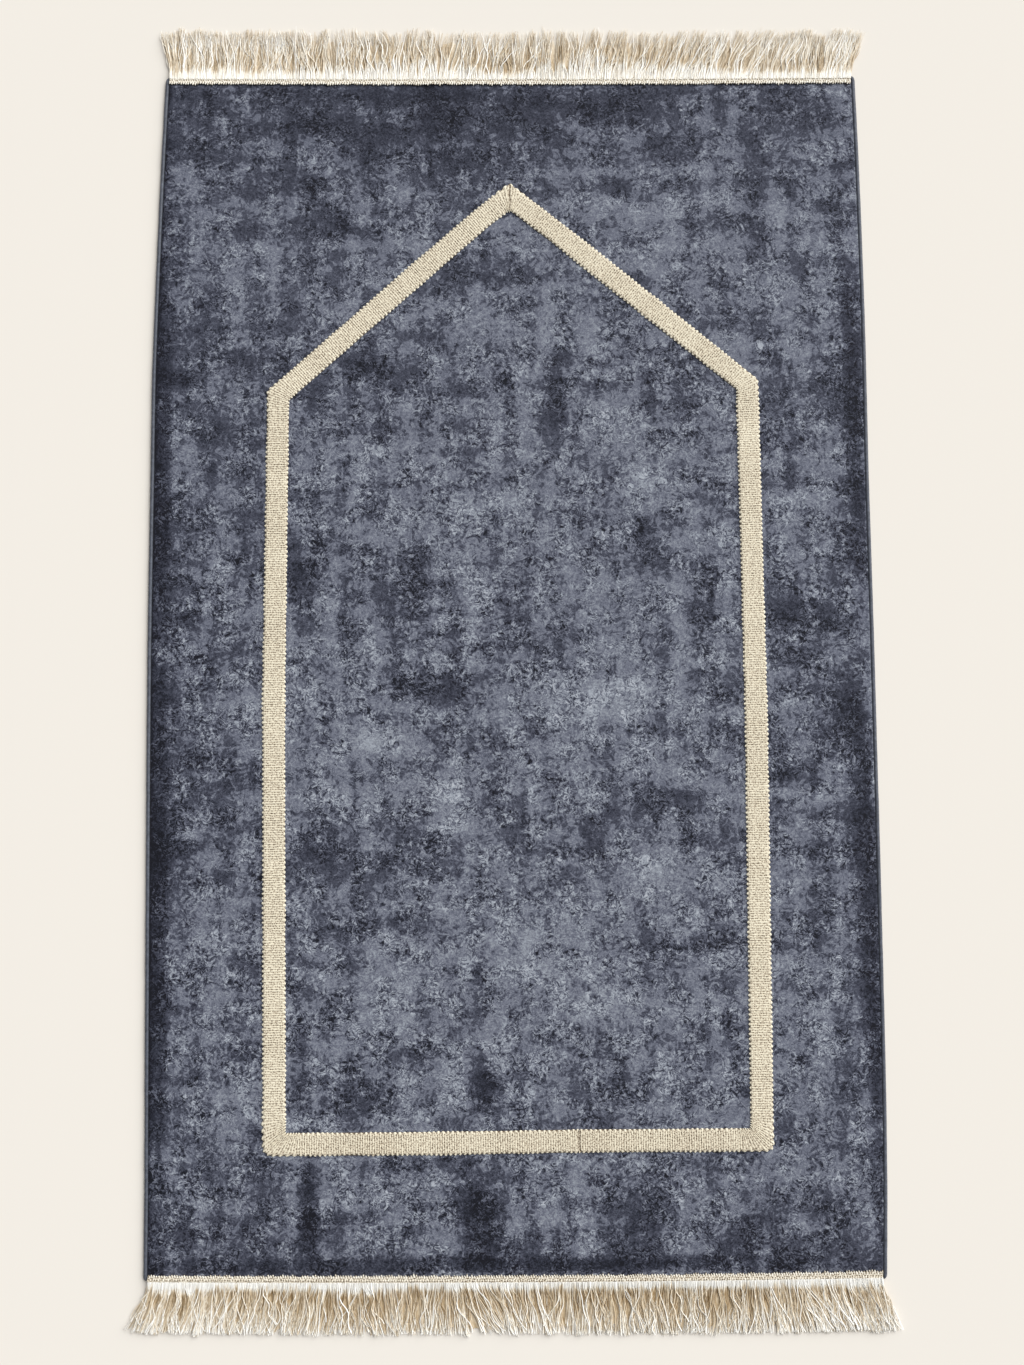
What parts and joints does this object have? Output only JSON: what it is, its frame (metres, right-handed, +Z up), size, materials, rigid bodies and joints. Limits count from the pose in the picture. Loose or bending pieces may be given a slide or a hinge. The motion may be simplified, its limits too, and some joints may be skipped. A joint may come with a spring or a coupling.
{
  "type": "prayer rug",
  "caption": "Flat rectangular velvet prayer rug with an arch of braid sewn on, bound long edges and a silky fringe along each end.",
  "frame": {"origin": "on the surface that the rug lies on, under the middle of the rug", "axes": "+Z up out of the pile, +Y along the length towards the point of the arch, +X to the right when the arch points away from the viewer"},
  "size_m": [0.7091, 1.2663, 0.006],
  "materials": {
    "velvet_pile": "mottled slate velvet",
    "gimp_braid": "cream corded braid",
    "edge_binding": "smooth slate tape",
    "rayon_fringe": "silky champagne yarn"
  },
  "bodies": {
    "root": {"pile_cloth": "velvet_pile", "mihrab_braid": "gimp_braid", "binding_left": "edge_binding", "binding_right": "edge_binding", "fringe_far": "rayon_fringe", "fringe_near": "rayon_fringe"}
  },
  "joints": []
}
